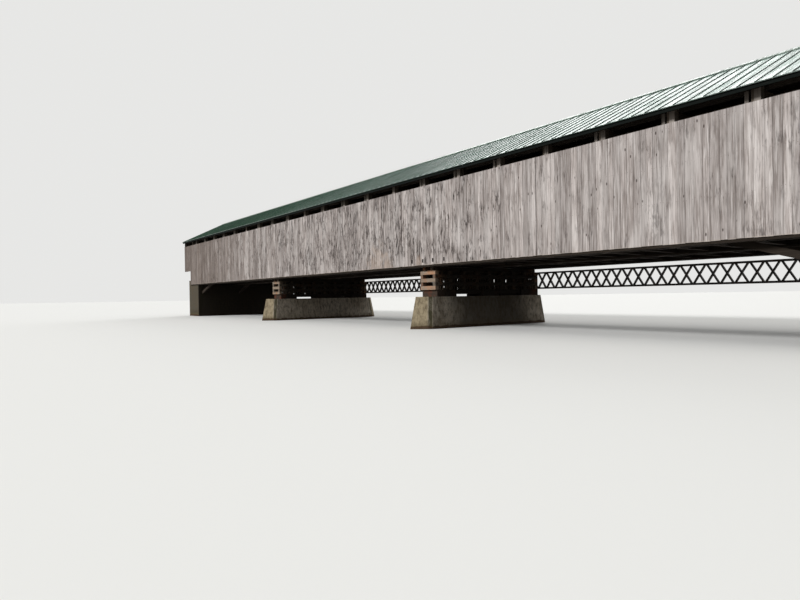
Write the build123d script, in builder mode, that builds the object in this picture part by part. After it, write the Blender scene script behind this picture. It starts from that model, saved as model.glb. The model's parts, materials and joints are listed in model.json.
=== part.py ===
# A long two-lane covered bridge, a scale model at 1:2 of a timber road bridge in three spans.
# X runs along the bridge, Y across the river's flow (-Y is the upstream side) and Z up.
# Z = 0 is the lowest point, where piers and abutments meet the ground. Millimetres of the model.
import os
from math import atan2, degrees, hypot

from build123d import *

os.makedirs("parts", exist_ok=True)

# Plan of the bridge
bay = 1250  # from one truss post to the next
bays_per_span = 7  # whole bays from pier to pier, and from a pier to the last whole post
end_bay = 640  # shorter bay between the last whole post and the end post
siding_end_margin = 65  # siding and chords run on past the end post's centre
portal_overhang = 910  # roof and upper side boards run on past the end of the floor
half_width = 2085  # centre line to the outer face of the side boards

# Piers of battered concrete with a pointed nose at both ends
pier_height = 780
pier_half_top = 286  # half thickness under the cribs
pier_batter = 78  # how much further out each side stands at the foot
pier_ledge = 70  # from the crib's end out to where the nose starts, at the top
pier_knuckle_in = 51  # the nose turns in two steps, the first this far in
pier_knuckle_out = 105  # and this far along
pier_nose = 318  # from shoulder to tip, at the top
pier_nose_batter = 92  # how much longer the nose is at the foot
pier_shoulder_batter = 90  # how much further along the shoulder stands at the foot

# Timber cribs on the piers
crib_base_height = 168
crib_layer = 94  # height and thickness of each crib timber
crib_levels = 3  # cross layers, each with a long layer on top
crib_end_inset = 171  # the crib's ends stand this far in from the side boards
crib_block_length = 110
crib_block_pitch = 420
crib_top_inset = 96  # the uppermost long timbers stand this far in from the sides
base_block_inset = 60  # from the crib's end in to the outer base blocks
base_block_length = 640
girder_seat = 60  # the downstream base blocks run on this far under the lattice girder

# Abutments
abutment_seat = 1030  # the floor's end lies on the abutment for this length
abutment_side_inset = 45  # from the side boards' face in to the abutment's side
backwall_clearance = 10  # between the floor's end and the wall behind it
backwall_thickness = 360
strut_drop = 430  # from the chord down to the strut's foot
strut_reach = 1400
strut_foot = 120
strut_head = 360

# Truss timbers
chord_height = 250
chord_thickness = 90
post_width = 130  # along the bridge
post_depth = 120  # across the bridge
top_chord_height = 120
brace_height = 150  # measured upright
brace_depth = 90
brace_end_gap = 18  # between the brace's ends and the chords' levels
clear_height = 1678  # between the bottom chord and the top chord

# Floor
ledger_size = 40
floor_beam_width = 110
floor_beam_height = 150
floor_beams_per_bay = 2
deck_thickness = 50
deck_side_clearance = 5

# Roof frame
tie_beam_width = 110
tie_beam_height = 120
knee_brace_reach = 475
knee_brace_size = 85  # measured upright
knee_brace_width = 70
rafters_per_bay = 2
rafter_width = 60
rafter_depth = 78  # measured upright
rafter_tail_inset = 40
ridge_board_thickness = 30
ridge_board_drop = 30
roof_thickness = 27  # measured upright
roof_rise = 1084
eave_overhang = 105
plate_height = 104  # height of the wall plates at their outer face
eave_board_height = 70
eave_board_thickness = 14
ridge_cap_width = 150
ridge_cap_thickness = 8

# Boards
board_thickness = 14
siding_foot_rise = 38  # from the chord's lower face up to the boards' feet
vent_height = 246  # from the top of the side boards up to the roof's lower edge
wing_foot_rise = 660  # the boards of the overhanging ends are this much shorter
nailer_height = 80
nailer_foot_rise = 20  # from the wings' feet up to the lowest rail
nailer_head_drop = 90  # from the top of the side boards down to the foot of the highest rail
gable_lap = 150  # the gable boards hang this far below the top of the side boards

# Lattice girder under the downstream side
girder_height = 472
girder_thickness = 60
girder_chord = 46
lattice_bar = 30
lattice_panel = 290

# Places worked out from the sizes above
pier_x = bays_per_span * bay / 2
half_posts = bays_per_span + bays_per_span // 2
last_post = (half_posts + 0.5) * bay
end_post = last_post + end_bay
floor_end = end_post + siding_end_margin
roof_end = floor_end + portal_overhang
siding_inside = half_width - board_thickness
truss_y = siding_inside - chord_thickness - post_depth / 2
post_outside = truss_y + post_depth / 2
post_inside = truss_y - post_depth / 2
chord_inside = post_inside - chord_thickness
crib_half_length = siding_inside - crib_end_inset
pier_shoulder = crib_half_length + pier_ledge
base_block_end = crib_half_length - base_block_inset
abutment_half_width = half_width - abutment_side_inset
abutment_face = floor_end - abutment_seat
abutment_back = floor_end + backwall_clearance + backwall_thickness
middle_post = post_depth / 2
middle_chord = middle_post + chord_thickness
crib_bottom = pier_height + crib_base_height
chord_bottom = crib_bottom + 2 * crib_levels * crib_layer
chord_top = chord_bottom + chord_height
top_chord_bottom = chord_top + clear_height
tie_bottom = top_chord_bottom + top_chord_height
tie_top = tie_bottom + tie_beam_height
beam_bottom = chord_bottom + ledger_size
deck_bottom = beam_bottom + floor_beam_height
deck_top = deck_bottom + deck_thickness
eave_y = half_width + eave_overhang
slope = roof_rise / eave_y
roof_over_plates = (eave_y - post_inside) * slope
eave_height = tie_top + plate_height + rafter_depth + roof_thickness - roof_over_plates
ridge_height = eave_height + roof_rise
siding_bottom = chord_bottom + siding_foot_rise
siding_top = eave_height - vent_height
wing_bottom = siding_bottom + wing_foot_rise
gable_bottom = siding_top - gable_lap
lowest_nailer = wing_bottom + nailer_foot_rise
highest_nailer = siding_top - nailer_head_drop
nailer_levels = (lowest_nailer, (lowest_nailer + highest_nailer) / 2, highest_nailer)
gable_inside = roof_end - board_thickness
post_x = [side * (k + 0.5) * bay for side in (-1, 1) for k in range(half_posts + 1)]
post_x += [-end_post, end_post]
trusses = {"upstream": -truss_y, "middle": 0, "downstream": truss_y}


def roof_top(y):
    """Height of the roof's upper face, y from the centre line."""
    return eave_height + (eave_y - abs(y)) * slope


def rafter_under(y):
    """Height of the rafters' lower face."""
    return roof_top(y) - roof_thickness - rafter_depth


def across(y0, y1):
    """The plane of an upright profile at y1, and how far it is extruded back to y0."""
    return Plane.XZ.offset(-y1), y1 - y0


def finish(block, name):
    """Name the finished piece and write it."""
    block.part.label = name
    export_step(block.part, f"parts/{name}.step")


def outline(points):
    """One closed outline, added to the open sketch where its points lie."""
    Polygon(*points, align=None)


def bar(x0, x1, y0, y1, z0, z1):
    """A square timber or slab between two corners, added to the open part."""
    with Locations(((x0 + x1) / 2, (y0 + y1) / 2, (z0 + z1) / 2)):
        Box(abs(x1 - x0), abs(y1 - y0), abs(z1 - z0))


# Piers: one battered concrete block each, pointed at both ends, lofted from foot to top
def pier_outline(batter):
    """The outline of a pier at its top, where batter is 0, or at its foot, where it is 1."""
    half = pier_half_top + pier_batter * batter
    shoulder = pier_shoulder + pier_shoulder_batter * batter
    tip = shoulder + pier_nose + pier_nose_batter * batter
    knuckle_x = half - pier_knuckle_in
    knuckle_y = shoulder + pier_knuckle_out
    upper = [(half, shoulder), (knuckle_x, knuckle_y), (0, tip), (-knuckle_x, knuckle_y), (-half, shoulder)]
    return [*upper, *[(-x, -y) for x, y in upper]]


for place, x in (("west", -pier_x), ("east", pier_x)):
    with BuildPart() as pier:
        with BuildSketch(Plane((x, 0, 0))):
            outline(pier_outline(1))
        with BuildSketch(Plane((x, 0, pier_height))):
            outline(pier_outline(0))
        loft()
    finish(pier, f"pier_{place}")

# Cribs: base blocks under each truss, then cross blocks and long timbers by turns
with BuildPart() as crib_bases:
    for x in (-pier_x, pier_x):
        inner_end = base_block_end - base_block_length
        ends = [(-base_block_end, -inner_end), (inner_end, base_block_end + girder_seat)]
        for y0, y1 in [*ends, (-base_block_length / 2, base_block_length / 2)]:
            bar(x - pier_half_top, x + pier_half_top, y0, y1, pier_height, crib_bottom)
finish(crib_bases, "crib_bases")

for place, x in (("west", -pier_x), ("east", pier_x)):
    with BuildPart() as crib:
        for level in range(crib_levels):
            z = crib_bottom + (2 * level + 1) * crib_layer
            inset = crib_top_inset if level == crib_levels - 1 else 0
            for side in (-1, 1):
                edge = x + side * (pier_half_top - inset)
                bar(edge, edge - side * crib_layer, -crib_half_length, crib_half_length, z, z + crib_layer)
    finish(crib, f"crib_{place}")

end_row = crib_half_length - crib_block_length / 2
rows = round(end_row / crib_block_pitch)
block_z = [crib_bottom + (2 * level + 0.5) * crib_layer for level in range(crib_levels)]
block_inset = pier_half_top - crib_layer
with BuildPart() as crib_blocks:
    for x in (-pier_x, pier_x):
        row_y = {row: row * end_row / rows for row in range(-rows, rows + 1)}
        full_rows = [row_y.pop(row) for row in (-rows, 0, rows)]
        with Locations(*[(x, y, z) for y in full_rows for z in block_z]):
            Box(2 * pier_half_top, crib_block_length, crib_layer)
        sides = (x - block_inset, x + block_inset)
        with Locations(*[(edge, y, z) for edge in sides for y in row_y.values() for z in block_z]):
            Box(2 * crib_layer, crib_block_length, crib_layer)
finish(crib_blocks, "crib_blocks")

# Abutments: a concrete seat for the chords, and a wall behind the floor's end
for place, side in (("west", -1), ("east", 1)):
    with BuildPart() as abutment:
        bar(
            side * abutment_face, side * abutment_back,
            -abutment_half_width, abutment_half_width, 0, chord_bottom,
        )
    finish(abutment, f"abutment_{place}")

with BuildPart() as backwalls:
    for side in (-1, 1):
        bar(
            side * (floor_end + backwall_clearance), side * abutment_back,
            -abutment_half_width, abutment_half_width, chord_bottom, deck_top,
        )
finish(backwalls, "backwalls")

# Raking struts from the abutments up to the chords, one under each truss
strut_y = post_inside - chord_thickness / 2
with BuildPart() as struts:
    for y in (-strut_y, 0, strut_y):
        plane, depth = across(y - chord_thickness / 2, y + chord_thickness / 2)
        with BuildSketch(plane):
            for side in (-1, 1):
                foot = side * abutment_face
                outline([
                    (foot, chord_bottom - strut_drop),
                    (foot, chord_bottom - strut_drop + strut_foot),
                    (foot - side * (strut_reach - strut_head), chord_bottom),
                    (foot - side * strut_reach, chord_bottom),
                ])
        extrude(amount=depth)
finish(struts, "abutment_struts")


# Trusses: chords in pairs on both faces of the posts, and braces between the posts
def brace_outline(x0, x1, rising):
    """A brace from post to post; rising is True where it goes up towards +X."""
    left = x0 + post_width / 2
    right = x1 - post_width / 2
    low = chord_top + brace_end_gap
    high = top_chord_bottom - brace_end_gap
    foot, head = (left, right) if rising else (right, left)
    return [(foot, low), (foot, low + brace_height), (head, high), (head, high - brace_height)]


def bay_braces(x0, x1):
    """The braces of a bay rise to the middle of their span and cross in its middle bay."""
    centre = (x0 + x1) / 2
    span_middle = 0 if abs(centre) < pier_x else round(centre / abs(centre)) * (pier_x + last_post + bay) / 2
    if abs(centre - span_middle) < bay / 2:
        return [True, False]
    return [centre < span_middle]


for name, y in trusses.items():
    near = middle_post if name == "middle" else post_inside
    sides = (-1, 1) if name == "middle" else (y / abs(y),)
    with BuildPart() as chord:
        for side in (-1, 1):
            inner = y + side * post_depth / 2
            bar(-floor_end, floor_end, inner, inner + side * chord_thickness, chord_bottom, chord_top)
    finish(chord, f"bottom_chord_{name}")

    with BuildPart() as top_chord:
        for side in sides:
            face = side * (middle_post if name == "middle" else chord_inside)
            bar(-gable_inside, gable_inside, face, face + side * chord_thickness, top_chord_bottom, tie_bottom)
    finish(top_chord, f"top_chord_{name}")

    with BuildPart() as posts:
        with BuildSketch(*[Plane.YZ.offset(x - post_width / 2) for x in post_x]):
            y0 = y - post_depth / 2
            y1 = y + post_depth / 2
            heads = (tie_bottom, tie_bottom) if name == "middle" else (rafter_under(y0), rafter_under(y1))
            outline([(y0, chord_bottom), (y1, chord_bottom), (y1, heads[1]), (y0, heads[0])])
        extrude(amount=post_width)
    finish(posts, f"posts_{name}")

    with BuildPart() as braces:
        ordered = sorted(post_x)
        plane, depth = across(y - brace_depth / 2, y + brace_depth / 2)
        with BuildSketch(plane):
            for x0, x1 in zip(ordered, ordered[1:]):
                for rising in bay_braces(x0, x1):
                    outline(brace_outline(x0, x1, rising))
        extrude(amount=depth)
    finish(braces, f"braces_{name}")

    # Knee braces from each post up to the tie beam
    with BuildPart() as knees:
        with BuildSketch(*[Plane.YZ.offset(x - knee_brace_width / 2) for x in post_x]):
            for side in sides:
                foot = side * (middle_post if name == "middle" else post_inside)
                inward = side if name == "middle" else -side
                low = tie_bottom - knee_brace_reach
                outline([
                    (foot, low),
                    (foot + inward * knee_brace_reach, tie_bottom),
                    (foot + inward * (knee_brace_reach + knee_brace_size), tie_bottom),
                    (foot, low - knee_brace_size),
                ])
        extrude(amount=knee_brace_width)
    finish(knees, f"knee_braces_{name}")

# Floor: ledgers on the chords, cross beams on the ledgers, and a lane of planks on each side
lane_edges = [(side * middle_chord, side * chord_inside) for side in (-1, 1)]
with BuildPart() as ledgers:
    for inner, outer in lane_edges:
        inward = ledger_size if inner > 0 else -ledger_size
        bar(-floor_end, floor_end, inner, inner + inward, chord_bottom, beam_bottom)
        bar(-floor_end, floor_end, outer, outer - inward, chord_bottom, beam_bottom)
finish(ledgers, "floor_ledgers")

beam_pitch = bay / floor_beams_per_bay
beams_per_half = int(floor_end / beam_pitch)
beam_x = [(k + 0.5) * beam_pitch for k in range(-beams_per_half, beams_per_half)]
beam_y = (chord_inside + middle_chord) / 2
beam_z = beam_bottom + floor_beam_height / 2
with BuildPart() as floor_beams:
    with Locations(*[(x, y, beam_z) for x in beam_x for y in (-beam_y, beam_y)]):
        Box(floor_beam_width, chord_inside - middle_chord, floor_beam_height)
finish(floor_beams, "floor_beams")

for name, (inner, outer) in zip(("deck_upstream", "deck_downstream"), lane_edges):
    gap = deck_side_clearance if inner > 0 else -deck_side_clearance
    with BuildPart() as deck:
        bar(-floor_end, floor_end, inner + gap, outer - gap, deck_bottom, deck_top)
    finish(deck, name)

# Roof frame: tie beams on the top chords, plates on the tie beams, rafters up to the ridge board
end_tie = gable_inside - rafter_width - tie_beam_width / 2
with BuildPart() as tie_beams:
    with Locations(*[(x, 0, tie_bottom + tie_beam_height / 2) for x in [*post_x, -end_tie, end_tie]]):
        Box(tie_beam_width, 2 * post_inside, tie_beam_height)
finish(tie_beams, "tie_beams")

with BuildPart() as plates:
    with BuildSketch(Plane.YZ.offset(-gable_inside)):
        for side in (-1, 1):
            outline([
                (side * chord_inside, tie_top),
                (side * post_inside, tie_top),
                (side * post_inside, rafter_under(post_inside)),
                (side * chord_inside, rafter_under(chord_inside)),
            ])
    extrude(amount=2 * gable_inside)
finish(plates, "wall_plates")

rafter_pitch = bay / rafters_per_bay
rafters_per_half = int(gable_inside / rafter_pitch)
rafter_x = [k * rafter_pitch for k in range(-rafters_per_half, rafters_per_half + 1)]
end_rafter = gable_inside - rafter_width / 2
rafter_x += [-end_rafter, end_rafter]
rafter_foot = eave_y - rafter_tail_inset
rafter_head = ridge_board_thickness / 2
for name, side in (("upstream", -1), ("downstream", 1)):
    with BuildPart() as rafters:
        with BuildSketch(*[Plane.YZ.offset(x - rafter_width / 2) for x in rafter_x]):
            outline([
                (side * rafter_foot, rafter_under(rafter_foot)),
                (side * rafter_foot, rafter_under(rafter_foot) + rafter_depth),
                (side * rafter_head, rafter_under(rafter_head) + rafter_depth),
                (side * rafter_head, rafter_under(rafter_head)),
            ])
        extrude(amount=rafter_width)
    finish(rafters, f"rafters_{name}")

with BuildPart() as ridge_board:
    bar(
        -gable_inside, gable_inside, -rafter_head, rafter_head,
        rafter_under(rafter_head) - ridge_board_drop, rafter_under(rafter_head) + rafter_depth,
    )
finish(ridge_board, "ridge_board")

# Roof: a slab of boards and metal sheet on each side, mitred under a ridge cap
for name, side in (("upstream", -1), ("downstream", 1)):
    with BuildPart() as roof:
        with BuildSketch(Plane.YZ.offset(-roof_end)):
            outline([
                (side * eave_y, eave_height),
                (0, ridge_height),
                (0, ridge_height - roof_thickness),
                (side * eave_y, eave_height - roof_thickness),
            ])
        extrude(amount=2 * roof_end)
    finish(roof, f"roof_{name}")

with BuildPart() as ridge_cap:
    with BuildSketch(Plane.YZ.offset(-roof_end)):
        outline([
            (-ridge_cap_width, roof_top(ridge_cap_width)),
            (0, ridge_height),
            (ridge_cap_width, roof_top(ridge_cap_width)),
            (ridge_cap_width, roof_top(ridge_cap_width) + ridge_cap_thickness),
            (0, ridge_height + ridge_cap_thickness),
            (-ridge_cap_width, roof_top(ridge_cap_width) + ridge_cap_thickness),
        ])
    extrude(amount=2 * roof_end)
finish(ridge_cap, "ridge_cap")

# Side boards, the rails they are nailed to with the board along the rafters' tails, and the
# boards of the overhanging ends
eave_board_out = rafter_foot + eave_board_thickness
eave_board_top = roof_top(eave_board_out) - roof_thickness
for name, side in (("upstream", -1), ("downstream", 1)):
    with BuildPart() as siding:
        bar(-floor_end, floor_end, side * siding_inside, side * half_width, siding_bottom, siding_top)
    finish(siding, f"siding_{name}")

    with BuildPart() as nailers:
        for z in nailer_levels:
            bar(-gable_inside, gable_inside, side * post_outside, side * siding_inside, z, z + nailer_height)
        bar(
            -gable_inside, gable_inside, side * rafter_foot, side * eave_board_out,
            eave_board_top - eave_board_height, eave_board_top,
        )
    finish(nailers, f"nailers_{name}")

with BuildPart() as wings:
    for side in (-1, 1):
        for end in (-1, 1):
            bar(end * floor_end, end * roof_end, side * siding_inside, side * half_width, wing_bottom, siding_top)
finish(wings, "portal_wings")

for place, x in (("west", -roof_end), ("east", gable_inside)):
    with BuildPart() as gable:
        with BuildSketch(Plane.YZ.offset(x)):
            outline([
                (-siding_inside, gable_bottom),
                (siding_inside, gable_bottom),
                (siding_inside, roof_top(siding_inside) - roof_thickness),
                (0, ridge_height - roof_thickness),
                (-siding_inside, roof_top(siding_inside) - roof_thickness),
            ])
        extrude(amount=board_thickness)
    finish(gable, f"gable_{place}")

# Lattice girder from abutment to abutment, outside the cribs on the downstream side
girder_bottom = crib_bottom
girder_top = girder_bottom + girder_height
panels = round(2 * abutment_face / lattice_panel)
panel = 2 * abutment_face / panels
plane, depth = across(crib_half_length, crib_half_length + girder_thickness)
with BuildPart() as girder:
    with BuildSketch(plane):
        for z in (girder_bottom, girder_top - girder_chord):
            with Locations((0, z + girder_chord / 2)):
                Rectangle(2 * abutment_face, girder_chord)
        rise = girder_height - girder_chord
        run = panel - lattice_bar
        lean = degrees(atan2(rise, run))
        panel_x = [-abutment_face + (k + 0.5) * panel for k in range(panels)]
        with Locations(*[(x, girder_bottom + girder_height / 2) for x in panel_x]):
            Rectangle(hypot(run, rise), lattice_bar, rotation=lean)
            Rectangle(hypot(run, rise), lattice_bar, rotation=-lean)
    extrude(amount=depth)
finish(girder, "lattice_girder")
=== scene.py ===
import json
import math
import random

import bmesh
import bpy
from mathutils import Matrix, Vector, noise

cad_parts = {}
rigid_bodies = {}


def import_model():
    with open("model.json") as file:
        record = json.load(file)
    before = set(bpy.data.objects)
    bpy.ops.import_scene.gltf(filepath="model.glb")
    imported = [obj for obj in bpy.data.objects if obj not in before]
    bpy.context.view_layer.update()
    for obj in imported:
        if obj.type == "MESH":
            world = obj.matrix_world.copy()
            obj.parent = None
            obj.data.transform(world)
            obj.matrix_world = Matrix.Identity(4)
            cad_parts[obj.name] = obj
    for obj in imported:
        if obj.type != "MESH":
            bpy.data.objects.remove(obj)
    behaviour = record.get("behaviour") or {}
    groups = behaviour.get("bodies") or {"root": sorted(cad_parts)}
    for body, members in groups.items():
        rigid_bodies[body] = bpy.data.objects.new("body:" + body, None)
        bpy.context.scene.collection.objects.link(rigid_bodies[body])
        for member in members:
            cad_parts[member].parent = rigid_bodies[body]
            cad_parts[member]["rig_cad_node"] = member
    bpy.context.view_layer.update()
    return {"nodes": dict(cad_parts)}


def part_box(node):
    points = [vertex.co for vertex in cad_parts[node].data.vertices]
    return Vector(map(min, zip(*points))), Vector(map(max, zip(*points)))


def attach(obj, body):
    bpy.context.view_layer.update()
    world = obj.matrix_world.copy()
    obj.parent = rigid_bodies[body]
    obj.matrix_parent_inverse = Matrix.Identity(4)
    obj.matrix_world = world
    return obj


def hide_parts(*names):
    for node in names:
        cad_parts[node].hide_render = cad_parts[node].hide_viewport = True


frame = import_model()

nodes = frame["nodes"]


# The place where the model is photographed: a pale floor at the waterline, an even pale sky and
# one large soft lamp from the upstream left, which leaves the near sides of the piers in shade.
floor_width, floor_level = 1400, -0.002
floor_colour = (0.80, 0.80, 0.78, 1)
floor_unseen = (0.07, 0.065, 0.055, 1)
sky_low, sky_high, sky_seen = 0.20, 0.72, 0.80
lamps = (("lamp", 2.35, 0.24, Vector((-0.10, -0.80, 0.50))),
         ("fill", 0.90, 0.60, Vector((-0.55, 0.75, 0.40))))
eye = Vector((15.42, -11.06, 0.794))
eye_turn, eye_pitch, eye_roll = (math.radians(a) for a in (36.9, -0.34, -0.90))
eye_focal = 579 * 36 / 800

ahead = Vector((-math.cos(eye_turn), math.sin(eye_turn), 0))
right = Vector((math.sin(eye_turn), math.cos(eye_turn), 0))
up = Vector((0, 0, 1))
ahead, up = (ahead * math.cos(eye_pitch) + up * math.sin(eye_pitch),
             up * math.cos(eye_pitch) - ahead * math.sin(eye_pitch))
right, up = (right * math.cos(eye_roll) + up * math.sin(eye_roll),
             up * math.cos(eye_roll) - right * math.sin(eye_roll))
camera = bpy.data.objects.new("eye", bpy.data.cameras.new("eye"))
bpy.context.scene.collection.objects.link(camera)
camera.data.lens = eye_focal
camera.data.sensor_width = 36
camera.data.clip_start = 0.05
camera.data.clip_end = 1000
camera.matrix_world = Matrix.Translation(eye) @ Matrix((right, up, -ahead)).transposed().to_4x4()
bpy.context.scene.camera = camera

for name, strength, spread, lies in lamps:
    lamp = bpy.data.objects.new(name, bpy.data.lights.new(name, "SUN"))
    bpy.context.scene.collection.objects.link(lamp)
    lamp.data.energy = strength
    lamp.data.angle = spread
    lamp.rotation_mode = "QUATERNION"
    lamp.rotation_quaternion = lies.to_track_quat("Z", "Y")


def put(tree, kind, inputs=(), **settings):
    """Adds one node; inputs pairs a socket with a plain value or with another node's output."""
    node = tree.nodes.new("ShaderNode" + kind)
    for key, value in settings.items():
        setattr(node, key, value)
    for socket, value in dict(inputs).items():
        if isinstance(value, bpy.types.NodeSocket):
            tree.links.new(value, node.inputs[socket])
        else:
            node.inputs[socket].default_value = value
    return node


def seen_or_not(tree):
    """1 where the background is seen directly, mirrored or through glass, and 0 where it only lights."""
    path = put(tree, "LightPath")
    seen = put(tree, "Math", {0: path.outputs["Is Camera Ray"], 1: path.outputs["Is Glossy Ray"]},
               operation="MAXIMUM")
    return put(tree, "Math", {0: seen.outputs[0], 1: path.outputs["Is Transmission Ray"]},
               operation="MAXIMUM").outputs[0]


world = bpy.data.worlds.new("studio")
world.use_nodes = True
world.node_tree.nodes.clear()
height = put(world.node_tree, "SeparateXYZ", {0: put(world.node_tree, "TexCoord").outputs["Generated"]})
overhead = put(world.node_tree, "MapRange", {0: height.outputs[2], 1: 0, 2: 1, 3: sky_low, 4: sky_high})
level = put(world.node_tree, "MapRange",
            {0: seen_or_not(world.node_tree), 3: overhead.outputs[0], 4: sky_seen})
sky = put(world.node_tree, "Background", {"Color": (1, 1, 0.985, 1), "Strength": level.outputs[0]})
put(world.node_tree, "OutputWorld", {"Surface": sky.outputs[0]})
bpy.context.scene.world = world
bpy.context.scene.view_settings.view_transform = "Standard"

bpy.ops.object.select_all(action="DESELECT")
bpy.ops.mesh.primitive_plane_add(size=floor_width, location=(0, 0, floor_level))
studio_floor = bpy.context.object
studio_floor.name = "studio_floor"
floor_paint = bpy.data.materials.new("studio_floor")
floor_paint.use_nodes = True
tree = floor_paint.node_tree
shown = put(tree, "Mix", {0: seen_or_not(tree), 6: floor_unseen, 7: floor_colour}, data_type="RGBA")
tree.links.new(shown.outputs[2], tree.nodes["Principled BSDF"].inputs["Base Color"])
tree.nodes["Principled BSDF"].inputs["Roughness"].default_value = 0.9
studio_floor.data.materials.append(floor_paint)


# Piers: two concrete blocks, battered, pointed upstream and downstream, poured in board forms.
# Rust-brown runs, moss by the shoulders and a dark band at the waterline have stained them.
def place_of(tree, stretch=(1, 1, 1), shift=None):
    """The object's own coordinates, stretched, and shifted by another node's output if one is given."""
    where = put(tree, "TexCoord").outputs["Object"]
    if shift is not None:
        where = put(tree, "VectorMath", {0: where, 1: shift}, operation="ADD").outputs[0]
    return put(tree, "Mapping", {"Vector": where, "Scale": stretch}).outputs[0]


def mottle(tree, stretch, detail=4, shift=None, low=0.35, high=0.65, twist=0):
    """A noise between 0 and 1, spread out between two of its levels."""
    cloud = put(tree, "TexNoise", {"Vector": place_of(tree, stretch, shift), "Scale": 1, "Detail": detail,
                                   "Roughness": 0.6, "Distortion": twist})
    return put(tree, "MapRange", {0: cloud.outputs["Fac"], 1: low, 2: high}).outputs[0]


def axis_of(tree, axis):
    """One of the object's own coordinates."""
    parts = put(tree, "SeparateXYZ", {0: put(tree, "TexCoord").outputs["Object"]})
    return parts.outputs["XYZ".index(axis)]


def span(tree, value, low, high, start=0, end=1):
    """A value's place between two levels, held to the ends."""
    return put(tree, "MapRange", {0: value, 1: low, 2: high, 3: start, 4: end}).outputs[0]


def sums(tree, what, first, second):
    """A sum of two values: MULTIPLY, ADD or SUBTRACT."""
    return put(tree, "Math", {0: first, 1: second}, operation=what).outputs[0]


def unsigned(tree, value):
    """A value without its sign."""
    return put(tree, "Math", {0: value}, operation="ABSOLUTE").outputs[0]


def blend(tree, share, first, second):
    """Two colours mixed by a share."""
    return put(tree, "Mix", {0: share, 6: first, 7: second}, data_type="RGBA").outputs[2]


def rgb(red, green, blue):
    """A colour as a screen shows it, 0 to 255, turned to the shader's levels."""
    return tuple(((c / 255 + 0.055) / 1.055) ** 2.4 if c > 10 else c / 3295
                 for c in (red, green, blue)) + (1,)


def finish_of(name, roughness, sheen=0.5):
    """An empty finish, its node tree and its shader. Rough wood and concrete have little sheen."""
    made = bpy.data.materials.new(name)
    made.use_nodes = True
    shader = made.node_tree.nodes["Principled BSDF"]
    shader.inputs["Roughness"].default_value = roughness
    shader.inputs["Specular IOR Level"].default_value = sheen
    return made, made.node_tree, shader


def give(tree, shader, colour, relief=None, strength=0.5, depth=0.003):
    """Gives the shader its colour, and a relief some strength and some metres deep if there is one."""
    tree.links.new(colour, shader.inputs["Base Color"])
    if relief is not None:
        bump = put(tree, "Bump", {"Height": relief, "Strength": strength, "Distance": depth})
        tree.links.new(bump.outputs[0], shader.inputs["Normal"])


def coat(node, made):
    """Gives a piece its finish."""
    node.data.materials.clear()
    node.data.materials.append(made)


shoulder_batter = 0.115


def concrete(name, pale, grimy, washed, moss_from, moss_to, deck_shade, river_face_x=None):
    """Board-formed concrete: moss between two distances from the bridge's middle line, rain-washed outside
    them, and wet at the foot. deck_shade: painted shade of the deck, which darkens it by a share from one
    distance in to the other. river_face_x: it is black up to that distance in X, and the painted shade is
    kept to the river side of it."""
    made, tree, shader = finish_of(name, 0.88, 0.15)
    height = axis_of(tree, "Z")
    out = unsigned(tree, axis_of(tree, "Y"))
    out = sums(tree, "ADD", out, sums(tree, "MULTIPLY", height, shoulder_batter))
    patches = mottle(tree, (1.6, 1.6, 1.6), 6)
    colour = blend(tree, patches, pale, grimy)
    fine = mottle(tree, (38, 38, 38), 4, low=0.3, high=0.7)
    # Painted shade of the deck: the sides are darkened by a share between two distances from the middle
    # line.
    shade = sums(tree, "ADD", out, span(tree, patches, 0, 1, -0.25, 0.25))
    shade = span(tree, shade, deck_shade[0], deck_shade[1], 0, deck_shade[2])
    reach = unsigned(tree, axis_of(tree, "X"))
    # The painted shade of the deck is kept to the river side of that face.
    if river_face_x:
        shade = sums(tree, "MULTIPLY", shade, span(tree, reach, river_face_x + 0.5, river_face_x + 0.1))
    colour = blend(tree, shade, colour, rgb(46, 40, 35))
    colour = blend(tree, span(tree, out, moss_to - 0.02, moss_to + 0.03), colour, washed)
    colour = blend(tree, span(tree, fine, 0, 1, 0, 0.35), colour, rgb(96, 90, 80))
    runs = mottle(tree, (5, 5, 0.6), 4, low=0.54, high=0.72, twist=0.5)
    colour = blend(tree, span(tree, runs, 0, 1, 0, 0.45), colour, rgb(98, 78, 58))
    lichen = mottle(tree, (15, 15, 7), 6, low=0.44, high=0.68, twist=0.3)
    colour = blend(tree, span(tree, lichen, 0, 1, 0, 0.75), colour, rgb(92, 80, 62))
    ragged = mottle(tree, (5, 5, 3), 5)
    near_edge = sums(tree, "MULTIPLY", span(tree, out, moss_from, moss_from + 0.03),
                     span(tree, out, moss_to + 0.02, moss_to - 0.02))
    moss = sums(tree, "MULTIPLY", near_edge, span(tree, ragged, 0.0, 0.5, 0.6, 1))
    colour = blend(tree, span(tree, moss, 0, 1, 0, 0.9), colour, rgb(62, 60, 36))
    wet_top = sums(tree, "ADD", height, span(tree, ragged, 0, 1, -0.018, 0.018))
    colour = blend(tree, span(tree, wet_top, 0.20, 0.08, 0, 0.45), colour, rgb(104, 92, 66))
    colour = blend(tree, span(tree, wet_top, 0.085, 0.06, 0, 0.85), colour, rgb(70, 50, 36))
    # Nearly black on the face towards the river.
    if river_face_x:
        colour = blend(tree, span(tree, reach, river_face_x + 0.06, river_face_x, 0, 0.75), colour, rgb(44, 39, 34))
    forms = put(tree, "TexWave", {"Vector": place_of(tree), "Scale": 2.6, "Distortion": 0.3,
                                  "Detail": 1, "Detail Scale": 2}, bands_direction="Z", wave_profile="SAW")
    joint = span(tree, forms.outputs["Fac"], 0.05, 0.0)
    colour = blend(tree, span(tree, joint, 0, 1, 0, 0.35), colour, rgb(84, 76, 66))
    relief = sums(tree, "SUBTRACT", sums(tree, "MULTIPLY", fine, 0.35), joint)
    give(tree, shader, colour, relief, 0.5, 0.006)
    return made


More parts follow.
